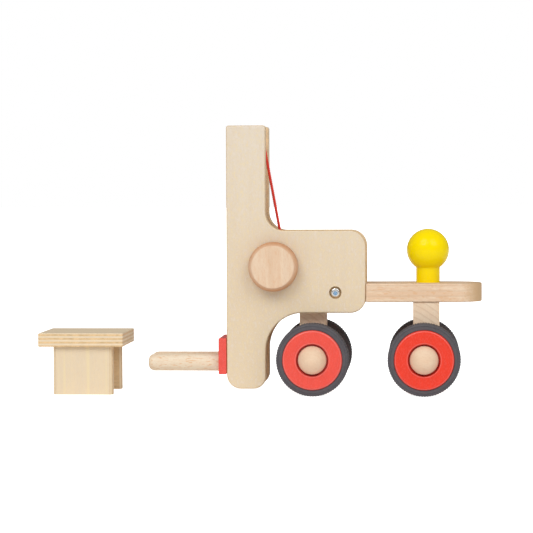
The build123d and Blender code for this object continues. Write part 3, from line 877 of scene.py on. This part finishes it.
class FORKLIFT_OT_cord(ForkliftOperator, Operator):
    """Lay the lifting cord: inside the mast, over the top rod, down to the shaft and round it"""

    bl_idname = "forklift.cord"
    bl_label = "Lifting cord"

    def execute(self, context):
        settings = context.scene.forklift_cord
        red = twine("cord_twine", settings.dye)
        front_low, front_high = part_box("cord_front_run")
        radius = (front_high.x - front_low.x) / 2
        rod_low, rod_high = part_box("top_guide_rod")
        shaft_low, shaft_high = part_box("winch_shaft")
        rod = np.array([(rod_low.x + rod_high.x) / 2, (rod_low.z + rod_high.z) / 2])
        shaft = np.array([(shaft_low.x + shaft_high.x) / 2, (shaft_low.z + shaft_high.z) / 2])
        front_x = (front_low.x + front_high.x) / 2
        rod_reach = rod[0] - front_x
        shaft_reach = (shaft_high.z - shaft_low.z) / 2 + radius
        spacing = settings.lay / 12

        # Inside the mast: straight down to the slide block
        drop = np.linspace(front_high.z, front_low.z, int((front_high.z - front_low.z) / spacing))
        path = np.column_stack([np.full_like(drop, front_x), np.zeros_like(drop), drop])
        front = cord_piece("cord_in_mast", path, "chassis", ["cord_front_run"], settings, red, radius)
        lift = next(j for j in frame["joints"] if j["name"] == "fork_lift")["range_m"][1]
        length = front_high.z - front_low.z
        1 - lift / length
        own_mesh(front)

        # Over the rod and down behind the mast, then on top of the turns that are on the shaft already
        between = shaft - rod
        top_reach = shaft_reach + 2.35 * radius
        lean = math.atan2(between[1], between[0])
        lean += math.acos((rod_reach - top_reach) / np.linalg.norm(between))
        out = np.array([math.cos(lean), math.sin(lean)])
        angle = np.linspace(math.pi, lean, 44)
        over = rod + rod_reach * np.column_stack([np.cos(angle), np.sin(angle)])
        meet = shaft + top_reach * out
        share = np.linspace(0, 1, 250)[1:, None]
        run = over[-1] + (meet - over[-1]) * share
        angle = np.linspace(lean, lean - math.radians(50), 26)[1:]
        lap = shaft + top_reach * np.column_stack([np.cos(angle), np.sin(angle)])
        flat = np.vstack([over, run, lap])
        path = np.column_stack([flat[:, 0], np.zeros(len(flat)), flat[:, 1]])
        cord_piece("cord_to_winch", path, "chassis", ["cord_rear_run"], settings, red, 1.25 * radius)

        # Round the shaft: a helix that starts under the end of the run
        pitch = 2.05 * radius
        turns = settings.turns
        turn = np.linspace(0, 2 * math.pi * turns, int(150 * turns))
        around = lean - turn
        shift = pitch * (turn / (2 * math.pi)) - radius
        path = np.column_stack([shaft[0] + shaft_reach * np.cos(around), shift,
                                shaft[1] + shaft_reach * np.sin(around)])
        cord_piece("cord_on_shaft", path, "winch", ["cord_winding"], settings, red, radius)

        # The knot under the slide block
        dress(NODES["cord_anchor_knot"], red)
        return {"FINISHED"}


class FORKLIFT_OT_carriage(ForkliftOperator, Operator):
    """Make the two forks and finish the plate that holds them"""

    bl_idname = "forklift.carriage"
    bl_label = "Forks and plate"

    def execute(self, context):
        dress(NODES["fork_plate"], lacquer("plate_red_lacquer", self.wood.plate_red, Y, 0.32, 0.05))
        for side_name, side in SIDES:
            node = f"fork_{side_name}"
            low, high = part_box(node)
            radius = (high.z - low.z) / 2
            centre = (0, (low.y + high.y) / 2, (low.z + high.z) / 2)
            # A quarter of a superellipse: fuller than a ball, flatter than a plain rounding
            angle = np.linspace(0, math.pi / 2, 18)
            nose = 7.0 * MM
            tip = np.column_stack([low.x + nose * (1 - np.sin(angle) ** 0.8),
                                   radius * np.cos(angle) ** 0.62])[::-1]
            tip[0, 1] = 0.0
            tip[:, 0] = np.sort(tip[:, 0])
            waist = low.x + nose + 1 * MM
            body = rounded_profile(((waist, radius, 0), (high.x, radius, 0.3 * MM), (high.x, 0.0, 0)), 4)
            profile = np.vstack([tip, body])
            grain = beech(f"fork_beech_{side_name}", self.wood, X, self.wood.fork, 0.65, seed=41.0 + 5 * side,
                          figure=0.7)
            made = turned(node + "_turned", profile, centre, X, "carriage", [node], 64)
            dress(made, grain)
        return {"FINISHED"}


class FORKLIFT_OT_driver(ForkliftOperator, Operator):
    """Make the driver: a ball on a peg"""

    bl_idname = "forklift.driver"
    bl_label = "Driver"

    def execute(self, context):
        low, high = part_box("driver_peg")
        ball = (high.y - low.y) / 2
        middle = high.z - ball
        neck_radius = 10.9 * MM
        centre = ((low.x + high.x) / 2, 0, 0)
        meet = math.pi - math.asin((neck_radius + 0.25 * MM) / ball)
        angle = np.linspace(0, meet, 60)
        dome = np.column_stack([middle + ball * np.cos(angle), ball * np.sin(angle)])
        dome[0, 1] = 0.0
        neck_top = dome[-1, 0]
        neck = np.array([(neck_top - 0.25 * MM, neck_radius + 0.06 * MM), (neck_top - 0.6 * MM, neck_radius)])
        foot = rounded_profile((
            (neck_top - 3 * MM, neck_radius, 0), (low.z, neck_radius, 1.0 * MM), (low.z, 0.0, 0),
        ), 5)
        made = turned("driver_peg_turned", np.vstack([dome, neck, foot]), centre, Z, "driver",
                      ["driver_peg"], 112)
        dress(made, lacquer("driver_yellow_lacquer", self.wood.yellow, Z, 0.05, 0.16, coat=0.10,
                            mottled=0.0, sheen=0.10))
        return {"FINISHED"}


class FORKLIFT_OT_pallet(ForkliftOperator, Operator):
    """Finish the pallet's plate and legs"""

    bl_idname = "forklift.pallet"
    bl_label = "Pallet"

    def execute(self, context):
        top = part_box("pallet_plate")[1].z / MM
        plate = plywood("pallet_plate_birch", self.wood, X, Z, top, 1.7, Y, core=1.0, seed=51.0, sanded=0.3,
                        bright=1.14, mottle=0.5, streaks=0.4)
        dress(NODES["pallet_plate"], plate)
        for side_name, side in SIDES:
            low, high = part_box(f"pallet_leg_{side_name}")
            face = (low.y if side < 0 else high.y) / MM
            leg = plywood(f"pallet_leg_birch_{side_name}", self.wood, Z, Y, face, 1.71, X, seed=57.0 + side,
                          bright=1.03, mottle=0.25, streaks=0.9, ends=(low.x / MM, high.x / MM))
            dress(NODES[f"pallet_leg_{side_name}"], leg)
        return {"FINISHED"}


class FORKLIFT_OT_screws(ForkliftOperator, Operator):
    """Finish the screws"""

    bl_idname = "forklift.screws"
    bl_label = "Screws"

    def execute(self, context):
        for name in ("panel_screws", "plate_screws"):
            low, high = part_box(name)
            middle = tuple((low + high) / 2 / MM)
            dress(NODES[name], zinc(f"{name}_zinc", context.scene.forklift_metal, middle))
        return {"FINISHED"}


class FORKLIFT_OT_stage(ForkliftOperator, Operator):
    """Set the camera, the floor and the soft light"""

    bl_idname = "forklift.stage"
    bl_label = "Stage"

    def camera(self, stage, middle):
        """A long lens that looks across the truck from its left side, slightly from above and behind."""
        forward = Vector((-math.sin(stage.yaw) * math.cos(stage.pitch),
                          math.cos(stage.yaw) * math.cos(stage.pitch), -math.sin(stage.pitch)))
        level = Vector((math.cos(stage.yaw), math.sin(stage.yaw), 0))
        above = level.cross(forward)
        right = level * math.cos(stage.roll) + above * math.sin(stage.roll)
        up = above * math.cos(stage.roll) - level * math.sin(stage.roll)
        data = bpy.data.cameras.new("camera")
        data.lens = stage.lens
        data.sensor_width = 36
        data.clip_end = 100
        camera = put("camera", data)
        turn = Matrix((right, up, -forward)).transposed().to_4x4()
        camera.matrix_world = Matrix.Translation(middle + Vector(stage.aim) - forward * stage.distance) @ turn
        bpy.context.scene.camera = camera

    def sun(self, name, direction, strength, spread):
        """A distant lamp: the same light at every place, with shadows as soft as its spread."""
        data = bpy.data.lights.new(name, "SUN")
        data.energy = strength
        data.angle = spread
        lamp = put(name, data)
        lamp.rotation_euler = (-Vector(direction)).to_track_quat("-Z", "Y").to_euler()

    def floor(self):
        """A large pale sheet with a flat finish. It glows a little where it is seen, as if lit from below."""
        reach = 30.0
        mesh = bpy.data.meshes.new("floor")
        corners = [(-reach, -reach, 0), (reach, -reach, 0), (reach, reach, 0), (-reach, reach, 0)]
        mesh.from_pydata(corners, [], [(0, 1, 2, 3)])
        floor = put("floor", mesh)
        finish = Finish("floor_pale")
        cloud = finish.noise(finish.place_mm(), (0.002, 0.002, 0.002), 2.0)
        tone = finish.mix(cloud, (0.93, 0.93, 0.93), (0.95, 0.95, 0.95))
        seen = finish.node("ShaderNodeLightPath")
        glow = finish.mix(seen, (0.12, 0.12, 0.12), (0.92, 0.92, 0.92))
        dress(floor, finish.surface(Base_Color=tone, Roughness=0.9, Specular_IOR_Level=0.1,
                                    Emission_Color=glow, Emission_Strength=1.0))

    def world(self, fill, mirrored):
        """White light from all round, weaker in reflections. The backdrop is plain white."""
        world = bpy.data.worlds.new("studio")
        bpy.context.scene.world = world
        world.use_nodes = True
        nodes, links = world.node_tree.nodes, world.node_tree.links
        nodes.clear()
        path = nodes.new("ShaderNodeLightPath")
        shader = None
        for ray, strength in ((None, fill), ("Is Glossy Ray", mirrored), ("Is Camera Ray", 1.0)):
            background = nodes.new("ShaderNodeBackground")
            background.inputs["Color"].default_value = (1, 1, 1, 1)
            background.inputs["Strength"].default_value = strength
            if shader is None:
                shader = background
                continue
            choose = nodes.new("ShaderNodeMixShader")
            links.new(path.outputs[ray], choose.inputs[0])
            links.new(shader.outputs[0], choose.inputs[1])
            links.new(background.outputs[0], choose.inputs[2])
            shader = choose
        out = nodes.new("ShaderNodeOutputWorld")
        links.new(shader.outputs[0], out.inputs["Surface"])

    def execute(self, context):
        stage = context.scene.forklift_stage
        low, high = CAD_BOX
        middle = (low + high) / 2
        self.camera(stage, middle)
        self.floor()
        self.sun("key", stage.key_from, stage.key_strength, stage.spread)
        self.sun("second", stage.second_from, stage.second_strength, stage.spread)
        self.world(stage.fill, stage.mirrored)
        context.scene.view_settings.view_transform = "Standard"
        return {"FINISHED"}


class FORKLIFT_PT_panel(bpy.types.Panel):
    """The truck's pieces and settings"""

    bl_label = "Wooden forklift"
    bl_idname = "FORKLIFT_PT_panel"
    bl_space_type = "VIEW_3D"
    bl_region_type = "UI"
    bl_category = "Forklift"

    def draw(self, context):
        layout = self.layout
        for operator in OPERATORS:
            layout.operator(operator.bl_idname)
        for group in SETTINGS:
            box = layout.box()
            values = getattr(context.scene, group)
            for name in values.bl_rna.properties.keys():
                if name not in ("rna_type", "name"):
                    box.prop(values, name)


OPERATORS = (
    FORKLIFT_OT_stage, FORKLIFT_OT_cord, FORKLIFT_OT_boards, FORKLIFT_OT_wheels, FORKLIFT_OT_winch,
    FORKLIFT_OT_carriage, FORKLIFT_OT_driver, FORKLIFT_OT_pallet, FORKLIFT_OT_screws,
)
SETTINGS = {
    "forklift_wood": ForkliftWood,
    "forklift_metal": ForkliftMetal,
    "forklift_rubber": ForkliftRubber,
    "forklift_cord": ForkliftCord,
    "forklift_stage": ForkliftStage,
}


def register():
    for group in (*SETTINGS.values(), *OPERATORS, FORKLIFT_PT_panel):
        bpy.utils.register_class(group)
    for name, group in SETTINGS.items():
        setattr(bpy.types.Scene, name, bpy.props.PointerProperty(type=group))


def unregister():
    for name in SETTINGS:
        delattr(bpy.types.Scene, name)
    for group in reversed((*SETTINGS.values(), *OPERATORS, FORKLIFT_PT_panel)):
        bpy.utils.unregister_class(group)


def main():
    register()
    for operator in OPERATORS:
        group, name = operator.bl_idname.split(".")
        getattr(getattr(bpy.ops, group), name)()


if __name__ == "__main__":
    main()
